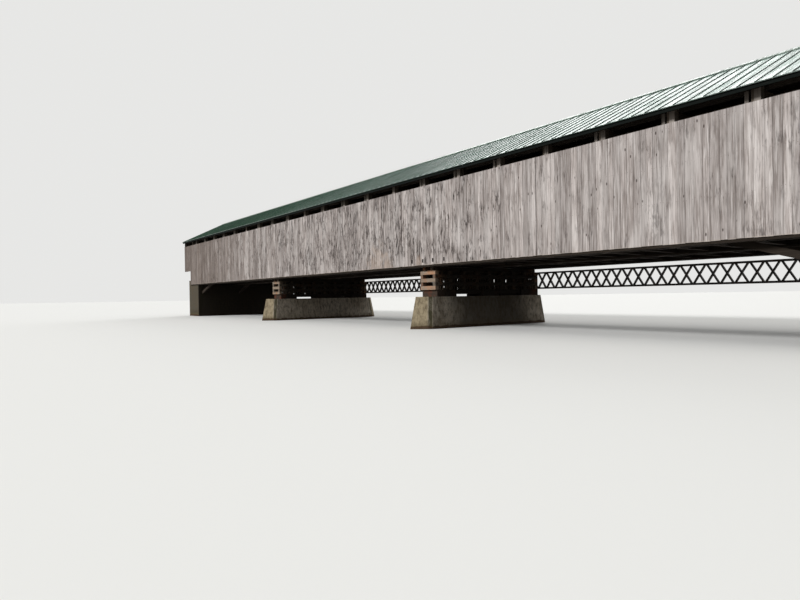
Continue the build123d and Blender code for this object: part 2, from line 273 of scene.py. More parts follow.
moss_from, moss_to = 2.055, 2.165
# The deck's shade on the piers' sides is painted in: strong on the east pier, slight on the west one.
for name, deck_shade in (("pier_west", (1.3, 0.0, 0.05)), ("pier_east", (1.55, 0.95, 0.76))):
    pier_concrete = concrete(name + "_concrete", rgb(234, 223, 208), rgb(190, 177, 159), rgb(186, 170, 140),
                             moss_from, moss_to, deck_shade)
    coat(nodes[name], pier_concrete)


# Abutments: a concrete block at each end under the chords' ends, with a back wall that holds the bank off
# the timber. Greyer than the piers, nearly black on the face towards the river, with painted shade of the
# deck on the sides beside that face.
abutment_face = 12.80
bank_concrete = concrete("bank_concrete", rgb(82, 77, 67), rgb(56, 52, 45), rgb(80, 75, 65),
                         1.90, 2.06, (1.7, 0.9, 0.86), river_face_x=abutment_face)
for name in ("abutment_west", "abutment_east", "backwalls"):
    coat(nodes[name], bank_concrete)


# Cribs on the piers: sawn blocks and long timbers stacked crosswise and bolted, with thin spacer blocks
# between the rows. Weathered grey, with tan and orange left where rain doesn't reach, and painted dark
# along the long sides for the shade under the deck.
def merged(node, name, edge):
    """A copy of a solid's mesh with its corners joined, and its edges taken off by a width."""
    bpy.ops.object.select_all(action="DESELECT")
    piece = bpy.data.objects.new(name, nodes[node].data.copy())
    bpy.context.scene.collection.objects.link(piece)
    piece.select_set(True)
    bpy.context.view_layer.objects.active = piece
    bpy.ops.object.mode_set(mode="EDIT")
    bpy.ops.mesh.select_all(action="SELECT")
    bpy.ops.mesh.remove_doubles(threshold=0.0002)
    bpy.ops.mesh.tris_convert_to_quads()
    bpy.ops.mesh.dissolve_limited(angle_limit=0.02)
    bpy.ops.object.mode_set(mode="OBJECT")
    worn = piece.modifiers.new("edges", "BEVEL")
    worn.width = edge
    worn.segments = 1
    worn.limit_method = "ANGLE"
    bpy.ops.object.modifier_apply(modifier="edges")
    return piece


def give_tones(piece, dice):
    """A shade of its own for each loose timber in the piece, kept on its faces. The timbers are taken
    in the order of the mesh's faces, so that every run gives them the same shades."""
    mesh = bmesh.new()
    mesh.from_mesh(piece.data)
    layer = mesh.faces.layers.float.new("tone")
    seen = set()
    for first in mesh.faces:
        if first in seen:
            continue
        tone, reach = dice.random(), [first]
        seen.add(first)
        while reach:
            face = reach.pop()
            face[layer] = tone
            for edge in face.edges:
                for other in edge.link_faces:
                    if other not in seen:
                        seen.add(other)
                        reach.append(other)
    mesh.to_mesh(piece.data)
    mesh.free()


def timber(name, pale, dark, along, stained=None, snapped=None, under_deck_shade=None):
    """Weathered softwood with its fibres along one axis. Each timber's own shade comes from its tone, or,
    on a solid with none, from the cell of the snapped size that it stands in. under_deck_shade: painted
    shade, dark from one distance from the bridge's middle line in to the other, where the deck shades it."""
    made, tree, shader = finish_of(name, 0.86, 0.12)
    if snapped:
        cell = put(tree, "VectorMath", {0: place_of(tree), 1: snapped}, operation="SNAP").outputs[0]
        tone = put(tree, "TexWhiteNoise", {"Vector": cell}, noise_dimensions="3D").outputs[0]
    else:
        tone = put(tree, "Attribute", attribute_name="tone").outputs["Fac"]
    shift = put(tree, "CombineXYZ", {axis: sums(tree, "MULTIPLY", tone, far)
                                     for axis, far in enumerate((31, 17, 23))}).outputs[0]
    fibre, broad, crack = ([fine if axis != along else coarse for axis in "XYZ"]
                           for fine, coarse in ((150, 3.5), (14, 1.1), (46, 1.6)))
    fibres = mottle(tree, fibre, 5, shift=shift)
    patches = mottle(tree, broad, 4, shift=shift)
    checks = mottle(tree, crack, 3, low=0.63, high=0.69, shift=shift, twist=0.2)
    colour = blend(tree, span(tree, fibres, 0, 1, 0.05, 0.75), pale, dark)
    colour = blend(tree, span(tree, patches, 0, 1, 0, 0.45), colour, dark)
    if stained:
        stain = mottle(tree, (3.2, 3.2, 3.2), 4, low=0.50, high=0.66, shift=shift)
        colour = blend(tree, span(tree, stain, 0, 1, 0, 0.8), colour, stained)
    colour = blend(tree, span(tree, checks, 0, 1, 0, 0.85), colour, rgb(34, 29, 25))
    lightness = put(tree, "HueSaturation", {"Color": colour, "Value": span(tree, tone, 0, 1, 0.72, 1.22)})
    colour = lightness.outputs[0]
    if under_deck_shade:
        # Painted shade of the deck: dark between two distances from the middle line.
        out = unsigned(tree, axis_of(tree, "Y"))
        uneven = sums(tree, "ADD", out, span(tree, patches, 0, 1, -0.1, 0.1))
        colour = blend(tree, span(tree, uneven, under_deck_shade[0], under_deck_shade[1], 0, 0.88), colour, rgb(30, 26, 22))
    relief = sums(tree, "SUBTRACT", sums(tree, "MULTIPLY", fibres, 0.35), checks)
    give(tree, shader, colour, relief, 0.6, 0.003)
    return made


def lay(pattern, name, places, dice, keep=False):
    """Copies of one modelled piece, each with its own mesh, shade and place, joined under one name.
    A place is a matrix, and the pattern is modelled about the origin and removed unless it is kept."""
    bpy.ops.object.select_all(action="DESELECT")
    first = None
    for place in places:
        mesh = pattern.data.copy()
        mesh.transform(place)
        tone = mesh.attributes.new("tone", "FLOAT", "FACE")
        tone.data.foreach_set("value", [dice.random()] * len(mesh.polygons))
        piece = bpy.data.objects.new(name, mesh)
        bpy.context.scene.collection.objects.link(piece)
        piece.select_set(True)
        first = first or piece
    bpy.context.view_layer.objects.active = first
    bpy.ops.object.join()
    if not keep:
        bpy.data.objects.remove(pattern)
    first.name = name
    first.data.name = name
    return first


def joined(parts, name):
    """Several pieces made into one, under one name."""
    bpy.ops.object.select_all(action="DESELECT")
    for part in parts:
        part.select_set(True)
    bpy.context.view_layer.objects.active = parts[0]
    bpy.ops.object.join()
    parts[0].name = name
    return parts[0]


def sawn(name, size, edge):
    """A sawn board or block about the origin, with its edges taken off."""
    bpy.ops.object.select_all(action="DESELECT")
    bpy.ops.mesh.primitive_cube_add(size=1)
    board = bpy.context.object
    board.name = name
    board.scale = size
    bpy.ops.object.transform_apply(location=True, rotation=True, scale=True)
    bpy.ops.object.mode_set(mode="EDIT")
    bpy.ops.mesh.select_all(action="SELECT")
    bpy.ops.mesh.bevel(offset=edge, segments=1, affect="EDGES")
    bpy.ops.object.mode_set(mode="OBJECT")
    return board


crib_dice = random.Random(7)
crib_grey = timber("crib_timber", rgb(156, 146, 134), rgb(98, 86, 74), "Y",
                   stained=rgb(158, 100, 60), under_deck_shade=(1.89, 1.62))
crib_block_wood = timber("crib_blocks", rgb(184, 168, 150), rgb(124, 106, 90), "X",
                         stained=rgb(178, 130, 96), under_deck_shade=(1.80, 1.55))
crib_dark = timber("crib_base", rgb(84, 70, 60), rgb(50, 42, 37), "X",
                   stained=rgb(104, 60, 44), under_deck_shade=(1.80, 1.5))
for node, name, made in (("crib_west", "crib_west_timbers", crib_grey),
                         ("crib_east", "crib_east_timbers", crib_grey),
                         ("crib_blocks", "crib_cross_blocks", crib_block_wood),
                         ("crib_bases", "crib_base_blocks", crib_dark)):
    piece = merged(node, name, edge=0.004)
    give_tones(piece, crib_dice)
    coat(piece, made)
    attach(piece, "root")
    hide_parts(node)


# Small timbers in the cribs: thin spacers in the two lower rows, with light between them, fillers
# in the top row, and bearing planks and a block in the gaps of the base. A bolt with a square washer
# goes through each long timber at every block, and its head shows outside.
def stepped(piece, way, rim, move):
    """Insets the faces of a piece that look one way, and moves them, which leaves a stem or a mouth."""
    bpy.ops.object.mode_set(mode="EDIT")
    bpy.ops.mesh.select_all(action="DESELECT")
    bpy.ops.object.mode_set(mode="OBJECT")
    for face in piece.data.polygons:
        face.select = face.normal.dot(Vector(way)) > 0.9
    bpy.ops.object.mode_set(mode="EDIT")
    bpy.ops.mesh.inset(thickness=rim)
    bpy.ops.mesh.extrude_region_move(TRANSFORM_OT_translate={"value": move})
    bpy.ops.object.mode_set(mode="OBJECT")


crib_layers, top_inset = 5, 0.096
spacer_pitch, spacers_in_row = 0.0923, 39
block_pitch, blocks_in_row = 0.4612, 9
first_block = (1 - blocks_in_row) / 2
filler_out, plank_out, plank_in, plank_high = 0.143, 0.76, 0.045, 0.112
washer, nut_rim, nut_high = 0.036, 0.009, 0.009
base_low, base_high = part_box("crib_bases")
infill_high, infill_y = base_high.z - base_low.z - plank_high - 0.002, 0.74
bolt_iron, tree, shader = finish_of("crib_bolts", 0.8, 0.2)
give(tree, shader, blend(tree, mottle(tree, (60, 60, 60), 4), rgb(44, 35, 30), rgb(66, 46, 36)))
for place in ("west", "east"):
    low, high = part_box("crib_" + place)
    middle = (low.x + high.x) / 2
    layer = (high.z - low.z) / crib_layers
    dice = random.Random(23)
    spacer_places, filler_places, plank_places = [], [], []
    for x in (low.x + layer / 2, high.x - layer / 2):
        first = (1 - spacers_in_row) / 2 - (0.5 if x > middle else 0)
        for level in (0, 1):
            for k in range(spacers_in_row):
                y = (first + k) * spacer_pitch + dice.uniform(-0.004, 0.004)
                spacer_places.append(Matrix.Translation((x, y, low.z + (2 * level - 0.5) * layer)))
    for x in (middle - filler_out, middle + filler_out):
        for k in range(blocks_in_row - 1):
            y = (first_block + k + 0.5) * block_pitch
            filler_places.append(Matrix.Translation((x, y, low.z + 3.5 * layer)))
    for y in (-plank_out, plank_out):
        for x in (low.x + plank_in, high.x - plank_in):
            plank_places.append(Matrix.Translation((x, y, base_high.z - plank_high / 2 - 0.001)))
    infill_places = [Matrix.Translation((middle, infill_y, base_low.z + infill_high / 2))]
    small_parts = []
    for name, size, edge, places, made in (
            ("spacers", (0.024, 0.040, layer), 0.002, spacer_places, crib_block_wood),
            ("fillers", (0.090, 0.310, layer), 0.003, filler_places, crib_block_wood),
            ("planks", (0.045, 0.875, plank_high), 0.003, plank_places, crib_dark),
            ("block", (0.42, 0.60, infill_high), 0.004, infill_places, crib_dark)):
        small_parts.append(lay(sawn(name, size, edge), name, places, dice))
        coat(small_parts[-1], made)
    spacers = joined(small_parts, "crib_spacers_" + place)
    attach(spacers, "root")

    bpy.ops.object.select_all(action="DESELECT")
    bpy.ops.mesh.primitive_cube_add(size=1, scale=(0.004, washer, washer))
    head = bpy.context.object
    stepped(head, (1, 0, 0), nut_rim, (nut_high, 0, 0))
    places = []
    for k in range(blocks_in_row):
        for level in range(3):
            inset = top_inset if level == 2 else 0
            for x, turn in ((high.x - inset, 0), (low.x + inset, math.pi)):
                spot = (x, (first_block + k) * block_pitch, low.z + (2 * level + 0.5) * layer)
                places.append(Matrix.Translation(spot) @ Matrix.Rotation(turn, 4, "Z")
                              @ Matrix.Rotation(dice.uniform(-0.3, 0.3), 4, "X"))
    bolts = lay(head, "crib_bolts_" + place, places, dice)
    coat(bolts, bolt_iron)
    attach(bolts, "root")


# Lattice girder: crossed flat bars riveted between two angles, laid on the cribs' base blocks and the
# abutments along the downstream side. Old dark paint over steel, rusting in spots.
def steel(name, paint, rust):
    """Old paint on steel with rust that has come through in spots."""
    made, tree, shader = finish_of(name, 0.6, 0.3)
    spots = mottle(tree, (17, 17, 17), 6, low=0.5, high=0.62)
    dirt = mottle(tree, (5, 5, 2), 4)
    colour = blend(tree, span(tree, dirt, 0, 1, 0, 0.5), paint, rgb(30, 29, 28))
    colour = blend(tree, span(tree, spots, 0, 1, 0, 0.5), colour, rust)
    give(tree, shader, colour, spots, 0.3, 0.001)
    return made


coat(nodes["lattice_girder"], steel("girder_steel", rgb(64, 62, 60), rgb(96, 58, 38)))


# Trusses: three lines of sawn timber, chords in pairs on both sides of the posts, braces that rise
# to the middle of each span and cross in its middle bay, and knee braces under the tie beams.
# Brown-grey inside, where rain never reaches, and painted darker under the floor for the shade there.
bay, beam_pitch = 1.25, 0.625
frame_pale, frame_dark = rgb(104, 90, 76), rgb(58, 48, 40)
# Painted shade: darker timber colours for everything under the floor.
painted_shade_pale, painted_shade_dark = rgb(70, 61, 53), rgb(38, 33, 29)
chord_wood = timber("chord_timber", frame_pale, frame_dark, "X", snapped=(5, 0.12, 0.3))
low_chord_wood = timber("low_chord_timber", painted_shade_pale, painted_shade_dark, "X", snapped=(5, 0.12, 9))
low_cross_wood = timber("low_cross_timber", painted_shade_pale, painted_shade_dark, "Y", snapped=(beam_pitch / 2, 9, 9))
brace_wood = timber("brace_timber", frame_pale, frame_dark, "X", snapped=(bay, 0.2, 9))
post_wood = timber("post_timber", rgb(150, 140, 128), rgb(92, 80, 70), "Z", snapped=(bay / 2, 0.6, 9))
cross_wood = timber("cross_timber", frame_pale, frame_dark, "Y", snapped=(beam_pitch / 2, 9, 9))
for line in ("upstream", "middle", "downstream"):
    coat(nodes["bottom_chord_" + line], low_chord_wood)
    coat(nodes["top_chord_" + line], chord_wood)
    coat(nodes["posts_" + line], post_wood)
    coat(nodes["braces_" + line], brace_wood)
    coat(nodes["knee_braces_" + line], cross_wood)
coat(nodes["abutment_struts"], low_chord_wood)


# Floor: cross beams on ledgers between the chords, and planks laid lengthwise in both lanes,
# butted over the beams and nailed.
# The ledgers and beams take the darker colours of painted shade under the floor.
coat(nodes["floor_ledgers"], low_chord_wood)
coat(nodes["floor_beams"], low_cross_wood)
plank_wood = timber("floor_planks", rgb(128, 112, 92), rgb(74, 62, 50), "X")
plank_width, plank_gap = 0.115, 0.003
for side in ("upstream", "downstream"):
    low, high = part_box("deck_" + side)
    dice = random.Random(len(side))
    rows = round((high.y - low.y) / plank_width)
    width = (high.y - low.y) / rows
    pattern = sawn("plank", (1, width - plank_gap, high.z - low.z), 0.003)
    places = []
    for row in range(rows):
        y = low.y + (row + 0.5) * width
        start = low.x
        stop = low.x + beam_pitch * dice.randint(2, 7)
        while start < high.x - 0.01:
            if high.x - stop < beam_pitch:
                stop = high.x
            size = Matrix.Diagonal((stop - start - plank_gap, 1, 1, 1))
            places.append(Matrix.Translation(((start + stop) / 2, y, (low.z + high.z) / 2)) @ size)
            start = stop
            stop = start + beam_pitch * dice.randint(5, 8)
    planks = lay(pattern, "planks_" + side, places, dice)
    coat(planks, plank_wood)
    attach(planks, "root")
    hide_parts("deck_" + side)


# Roof timbers: tie beams over the top chords, plates on them, rafters with square tails under
# the eaves, and a ridge board.
rafter_wood = timber("rafter_timber", frame_pale, frame_dark, "Y", snapped=(beam_pitch / 2, 9, 9))
plate_wood = timber("plate_timber", rgb(108, 100, 92), rgb(66, 59, 53), "X", snapped=(3, 0.6, 9))
coat(nodes["tie_beams"], cross_wood)
coat(nodes["wall_plates"], plate_wood)
coat(nodes["rafters_upstream"], rafter_wood)
coat(nodes["rafters_downstream"], rafter_wood)
coat(nodes["ridge_board"], chord_wood)


# Roof: thin boards nailed along the slopes, and on them green standing-seam metal, one pan after
# another from eave to ridge, folded upright where two pans meet. It lies in slight waves.
low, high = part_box("roof_upstream")
roof_end, eave_y, ridge_z = high.x, -low.y, high.z
eave_z = max(v.co.z for v in nodes["roof_upstream"].data.vertices if abs(v.co.y - low.y) < 0.0001)
slope = (ridge_z - eave_z) / eave_y
roof_angle = math.atan(slope)
slope_length = eave_y / math.cos(roof_angle)
pans = 126
pan_width = 2 * roof_end / pans
seam_height, seam_thick, seam_bend, seam_dirt_and_shade = 0.013, 0.005, 0.0005, 0.024
metal_thick, metal_drop, metal_wave, pan_parts = 0.0008, 0.0135, 0.0018, 6
rafter_pitch = 0.625
board_rows, roof_board_thick = 20, 0.011
roof_board_z = -metal_drop - 0.002 - roof_board_thick / 2


def painted_metal(name, paint, faded, dirt_share=0.5, folds=None):
    """Factory paint on sheet metal, faded in patches, with dirt streaks down the slope. The folds, the
    faces with a seam value, are darker, partly with dirt and partly with painted shade of the seams, and
    less dark towards the west end."""
    made, tree, shader = finish_of(name, 0.3)
    tone = put(tree, "Attribute", attribute_name="tone").outputs["Fac"]
    shift = put(tree, "CombineXYZ", {0: 0, 1: sums(tree, "MULTIPLY", tone, 19), 2: 0}).outputs[0]
    patches = mottle(tree, (1.3, 1.3, 1.3), 4)
    streaks = mottle(tree, (30, 0.9, 0.9), 5, low=0.4, high=0.68, shift=shift)
    colour = blend(tree, patches, paint, faded)
    colour = blend(tree, span(tree, streaks, 0, 1, 0, dirt_share), colour, rgb(46, 64, 56))
    lichen = mottle(tree, (16, 9, 9), 5, low=0.60, high=0.68, shift=shift)
    colour = blend(tree, span(tree, lichen, 0, 1, 0, 0.4), colour, rgb(92, 98, 78))
    if folds:
        # Dirt and painted shade on the folds: darkest at the east end, less dark towards the west.
        fold = put(tree, "Attribute", attribute_name="seam").outputs["Fac"]
        deep = blend(tree, span(tree, axis_of(tree, "X"), -4, 5), rgb(66, 98, 80), folds)
        colour = blend(tree, fold, colour, deep)
    lightness = put(tree, "HueSaturation", {"Color": colour, "Value": span(tree, tone, 0, 1, 0.84, 1.16)})
    tree.links.new(span(tree, streaks, 0, 1, 0.26, 0.5), shader.inputs["Roughness"])
    give(tree, shader, lightness.outputs[0])
    return made


def ragged_run(start, stop, step, fewest, most, dice):
    """Lengths of board from one end to the other, each ending over a rafter: their starts and stops."""
    ends, mark = [start], start + step * dice.randint(1, most)
    while mark < stop - step:
        ends.append(mark)
        mark += step * dice.randint(fewest, most)
    return list(zip(ends, [*ends[1:], stop]))


bpy.ops.object.select_all(action="DESELECT")
bpy.ops.mesh.primitive_plane_add(size=1)
pan = bpy.context.object
pan.data.transform(Matrix.Diagonal((pan_width, slope_length - 0.004, 1, 1))
                   @ Matrix.Translation((0.5, 0.5, 0)))
bpy.ops.object.mode_set(mode="EDIT")
for x in (seam_bend, seam_thick, seam_thick + seam_bend, seam_thick + seam_dirt_and_shade):
    bpy.ops.mesh.select_all(action="SELECT")
    bpy.ops.mesh.bisect(plane_co=(x, 0, 0), plane_no=(1, 0, 0))
for k in range(1, pan_parts):
    bpy.ops.mesh.select_all(action="SELECT")
    bpy.ops.mesh.bisect(plane_co=(0, k * slope_length / pan_parts, 0), plane_no=(0, 1, 0))
bpy.ops.object.mode_set(mode="OBJECT")
for v in pan.data.vertices:
    if seam_bend - 0.0001 < v.co.x < seam_thick + 0.0001:
        v.co.z = seam_height
metal = pan.modifiers.new("metal", "SOLIDIFY")
metal.thickness, metal.offset = metal_thick, -1
bpy.ops.object.modifier_apply(modifier="metal")

# The upright seam gets 1 and a strip beside it 0.72, for a darker colour that is partly dirt and partly
# painted shade.
seam = pan.data.attributes.new("seam", "FLOAT", "FACE")
seam.data.foreach_set("value", [1 if face.center.x < seam_thick + seam_bend + 0.0001
                                else 0.72 if face.center.x < seam_thick + seam_dirt_and_shade else 0
                                for face in pan.data.polygons])
roof_paint = painted_metal("roof_metal", rgb(116, 146, 133), rgb(158, 178, 169), 0.5, rgb(28, 46, 38))
roof_board_wood = timber("roof_boards", rgb(112, 100, 86), rgb(64, 55, 47), "X")
board_pattern = sawn("board", (1, slope_length / board_rows - 0.004, roof_board_thick), 0.001)
for side, sign in (("upstream", -1), ("downstream", 1)):
    dice = random.Random(11 + sign)
    flip = Matrix.Identity(4) if sign < 0 else Matrix.Rotation(math.pi, 4, "Z")
    on_slope = flip @ Matrix.Translation((0, -eave_y, eave_z)) @ Matrix.Rotation(roof_angle, 4, "X")
    places = [on_slope @ Matrix.Translation((k * pan_width - roof_end, dice.uniform(0, 0.003), -metal_drop))
              for k in range(pans)]
    sheets = lay(pan, "roof_sheets_" + side, places, dice, keep=True)
    for v in sheets.data.vertices:
        v.co.z += metal_wave * noise.noise(Vector((v.co.x * 4.3, v.co.y * 1.9, 0.5)))
    coat(sheets, roof_paint)
    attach(sheets, "root")
    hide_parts("roof_" + side)
    places = []
    for row in range(board_rows):
        for start, stop in ragged_run(0.005 - roof_end, roof_end - 0.005, rafter_pitch, 4, 7, dice):
            spot = ((start + stop) / 2, (row + 0.5) * slope_length / board_rows, roof_board_z)
            places.append(on_slope @ Matrix.Translation(spot)
                          @ Matrix.Diagonal((stop - start - 0.003, 1, 1, 1)))
    boards = lay(board_pattern, "roof_boards_" + side, places, dice, keep=True)
    coat(boards, roof_board_wood)
    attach(boards, "root")
for pattern in (pan, board_pattern):
    bpy.data.objects.remove(pattern)


# Roof edges: a folded drip strip along both eaves under the pans, a rake strip up each slope at the
# ends, and the ridge cap, bent lengths of the same metal that stand on the seams.
def folded(name, long, corners):
    """A strip of sheet metal, long along X, folded through the corners, each a place in Y and Z."""
    bpy.ops.object.select_all(action="DESELECT")
    bpy.ops.mesh.primitive_grid_add(size=1, x_subdivisions=1, y_subdivisions=len(corners) - 1)
    strip = bpy.context.object
    strip.name = name
    for v in strip.data.vertices:
        at = corners[round((v.co.y + 0.5) * (len(corners) - 1))]
        v.co = (v.co.x * long, *at)
    bend = strip.modifiers.new("metal", "SOLIDIFY")
    bend.thickness, bend.offset = metal_thick, -1
    bpy.ops.object.modifier_apply(modifier="metal")
    return strip


edge_paint = painted_metal("edge_metal", rgb(40, 62, 52), rgb(54, 76, 64), 0.35)
cap_paint = painted_metal("cap_metal", rgb(68, 96, 80), rgb(92, 116, 98), 0.6)
strips = 10
strip_length = 2 * roof_end / strips
along_ridge = [(k + 0.5) * strip_length - roof_end for k in range(strips)]
dice = random.Random(5)
drip = folded("drip", strip_length - 0.0005,
              ((0.0004, -0.013), (0.0010, -0.0008), (0.03, 0.03 * slope - 0.0008)))
places = []
for turn in (0, math.pi):
    for x in along_ridge:
        places.append(Matrix.Rotation(turn, 4, "Z")
                      @ Matrix.Translation((x, -eave_y, eave_z - metal_drop - 0.0004)))
drips = lay(drip, "eave_drip_strips", places, dice)
coat(drips, edge_paint)
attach(drips, "root")

rake = sawn("rake", (0.0015, slope_length - 0.006, 0.0125), 0.0004)
places = []
for turn in (0, math.pi):
    for x in (-roof_end + 0.001, roof_end - 0.001):
        places.append(Matrix.Rotation(turn, 4, "Z") @ Matrix.Translation((x, -eave_y, eave_z))
                      @ Matrix.Rotation(roof_angle, 4, "X")
                      @ Matrix.Translation((0, slope_length / 2, -metal_drop - 0.0075)))
rakes = lay(rake, "rake_strips", places, dice)
coat(rakes, edge_paint)
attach(rakes, "root")

cap_reach, cap_rise, cap_lip = 0.142, 0.0083, 0.017
folds = (-cap_reach, 0.0015 - cap_reach, -0.016, -0.006, 0, 0.006, 0.016, cap_reach - 0.0015, cap_reach)
cap = folded("cap", strip_length - 0.001,
             [(y, cap_rise - slope * max(abs(y), 0.004) - (cap_lip if abs(y) == cap_reach else 0))
              for y in folds])
places = [Matrix.Translation((x, 0, ridge_z + (k % 2) * 0.0009)) for k, x in enumerate(along_ridge)]
ridge_metal = lay(cap, "ridge_cap_metal", places, dice)
coat(ridge_metal, cap_paint)
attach(ridge_metal, "root")
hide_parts("ridge_cap")


# Siding: upright boards of mixed widths nailed to three rails on each side, never painted, silver
# grey, ragged at the foot. Knots, drips and rust have marked them, most in the middle of the span.
def siding_finish(name, stains=()):
    """Silver-grey boards. A stain is a patch: its place along X, its height, how far it spreads, how
    strong it is, and its colour."""
    made, tree, shader = finish_of(name, 0.9, 0.15)
    tone = put(tree, "Attribute", attribute_name="tone").outputs["Fac"]
    other = put(tree, "TexWhiteNoise", {"W": tone}, noise_dimensions="1D").outputs[0]
    shift = put(tree, "CombineXYZ", {0: 0, 1: 0, 2: sums(tree, "MULTIPLY", tone, 61)}).outputs[0]
    height, along = axis_of(tree, "Z"), axis_of(tree, "X")
    crowd = mottle(tree, (1.5, 1, 1.6), 3, low=0.36, high=0.62)
    middle = span(tree, unsigned(tree, sums(tree, "SUBTRACT", along, 1.0)), 5.5, 1.5)
    crowd = sums(tree, "ADD", span(tree, crowd, 0, 1, 0.35, 1), span(tree, middle, 0, 1, 0, 0.35))
    clusters = mottle(tree, (4.5, 4.5, 2.0), 3, low=0.44, high=0.58)
    crowd = sums(tree, "MULTIPLY", crowd, span(tree, clusters, 0, 1, 0.6, 1.9))
    near_end = span(tree, along, 5, 8, 1, 0.5)
    crowd = sums(tree, "MULTIPLY", crowd, near_end)
    fibres = mottle(tree, (150, 150, 3.0), 5, shift=shift, low=0.34, high=0.66)
    streaks = mottle(tree, (44, 44, 2.2), 5, shift=shift, low=0.40, high=0.60)
    colour = blend(tree, streaks, rgb(208, 199, 195), rgb(164, 154, 149))
    colour = blend(tree, span(tree, fibres, 0, 1, 0, 0.4), colour, rgb(124, 114, 109))
    across = unsigned(tree, put(tree, "Attribute", attribute_name="across").outputs["Fac"])
    grime = mottle(tree, (9, 9, 2.5), 4, shift=shift, low=0.35, high=0.6)
    edge = sums(tree, "MULTIPLY", span(tree, across, 0.74, 0.97), span(tree, grime, 0, 1, 0.45, 1))
    edge = sums(tree, "MULTIPLY", edge, near_end)
    colour = blend(tree, span(tree, edge, 0, 1, 0, 0.75), colour, rgb(88, 79, 74))
    bleach = mottle(tree, (5, 5, 0.8), 3, low=0.46, high=0.64)
    colour = blend(tree, span(tree, bleach, 0, 1, 0, 0.5), colour, rgb(228, 221, 217))
    pale_lines = mottle(tree, (38, 38, 1.2), 3, low=0.56, high=0.64, shift=shift)
    colour = blend(tree, span(tree, pale_lines, 0, 1, 0, 0.7), colour, rgb(230, 223, 219))
    weave = mottle(tree, (210, 210, 7), 3, shift=shift, low=0.40, high=0.56)
    marks = []
    for stretch, low, twist, crowded, woven, tint in (
            ((44, 44, 3.2), 0.50, 0, (0.1, 1.35, 0.05, 1), 0.35, rgb(88, 78, 73)),
            ((30, 30, 6), 0.53, 0.15, (0.45, 1.3, 0.05, 1), 0.45, rgb(50, 43, 40)),
            ((12, 12, 2.2), 0.52, 0, (0.7, 1.7, 0, 0.9), 0.4, rgb(66, 58, 54))):
        mark = mottle(tree, stretch, 4, low=low, high=0.60, shift=shift, twist=twist)
        mark = sums(tree, "MULTIPLY", mark, span(tree, crowd, *crowded))
        mark = sums(tree, "MULTIPLY", mark, span(tree, weave, 0, 1, woven, 1))
        colour = blend(tree, mark, colour, tint)
        marks.append(mark)
    knots = put(tree, "TexVoronoi", {"Vector": place_of(tree, (9, 9, 4), shift), "Scale": 1,
                                     "Randomness": 1})
    chosen = put(tree, "SeparateColor", {0: knots.outputs["Color"]}).outputs[0]
    knot = sums(tree, "MULTIPLY", span(tree, knots.outputs["Distance"], 0.14, 0.08),
                span(tree, chosen, 0.60, 0.62))
    colour = blend(tree, span(tree, knot, 0, 1, 0, 0.8), colour, rgb(54, 44, 38))
    for x, z, reach, strength, tint in stains:
        far = put(tree, "VectorMath", {0: place_of(tree, (1, 0, 0.8)), 1: (x, 0, z * 0.8)},
                  operation="DISTANCE")
        ragged = span(tree, mottle(tree, (9, 9, 5), 4), 0, 1, -reach * 0.4, reach * 0.4)
        away = sums(tree, "ADD", far.outputs["Value"], ragged)
        patch = span(tree, away, reach, reach * 0.35, 0, strength)
        colour = blend(tree, patch, colour, tint)
    far_end = span(tree, sums(tree, "ADD", along, span(tree, bleach, 0, 1, -1, 1)), -3, -13, 0, 0.8)
    colour = blend(tree, far_end, colour, rgb(112, 100, 92))
    foot = span(tree, height, 1.575, 1.56, 0, 0.6)
    colour = blend(tree, foot, colour, rgb(196, 184, 172))
    lightness = put(tree, "HueSaturation", {"Color": colour, "Value": span(tree, other, 0, 1, 0.84, 1.16)})
    relief = sums(tree, "SUBTRACT", sums(tree, "MULTIPLY", fibres, 0.4), sums(tree, "ADD", marks[0], knot))
    give(tree, shader, lightness.outputs[0], relief, 0.6, 0.0025)
    return made


near_stains = ((2.45, 1.66, 0.5, 0.4, rgb(192, 172, 156)), (2.95, 1.62, 0.3, 0.4, rgb(196, 174, 156)),
               (4.25, 1.62, 0.16, 0.35, rgb(184, 158, 136)))
siding_wood = siding_finish("siding_boards", near_stains)
siding_rear = siding_finish("siding_boards_rear")
board_narrow, board_wide, board_thick, board_play = 0.095, 0.150, 0.011, 0.003
crack_wide = 0.011


def board_run(start, stop, dice):
    """Where the boards of a run meet, from one end to the other."""
    cuts = [start]
    while cuts[-1] < stop - board_wide:
        cuts.append(cuts[-1] + dice.uniform(board_narrow, board_wide))
    return [*cuts, stop]


def mark_across(board, axis):
    """Keeps each corner's place across a board that is modelled 1 m wide: -1 and 1 at its edges."""
    across = board.data.attributes.new("across", "FLOAT", "POINT")
    across.data.foreach_set("value", [2 * getattr(v.co, axis) for v in board.data.vertices])


def upright_boards(name, cuts, low_z, high_z, outside, dice, ragged, cracks=()):
    """Upright boards between the cuts, their faces at or just inside the outer plane Y = outside, and
    their feet raised by up to a ragged height. Beside a crack's place the gap is wider."""
    sign = -1 if outside < 0 else 1
    tall = high_z - low_z
    pattern = sawn("board", (1, board_thick, tall), 0.0012)
    mark_across(pattern, "x")
    places = []
    for start, stop in zip(cuts, cuts[1:]):
        back, lift, gap = dice.uniform(0, board_play), dice.uniform(0, ragged), dice.uniform(0.001, 0.0035)
        if any(start < crack <= stop for crack in cracks):
            gap = crack_wide
        width = stop - start - gap
        lean = Matrix.Rotation(dice.uniform(-0.0004, 0.0004), 4, "Y")
        spot = (start + width / 2 + 0.0005, outside - sign * (board_thick / 2 + back),
                (low_z + lift + high_z) / 2)
        places.append(Matrix.Translation(spot) @ lean
                      @ Matrix.Diagonal((width, 1, (tall - lift) / tall, 1)))
    return lay(pattern, name, places, dice)


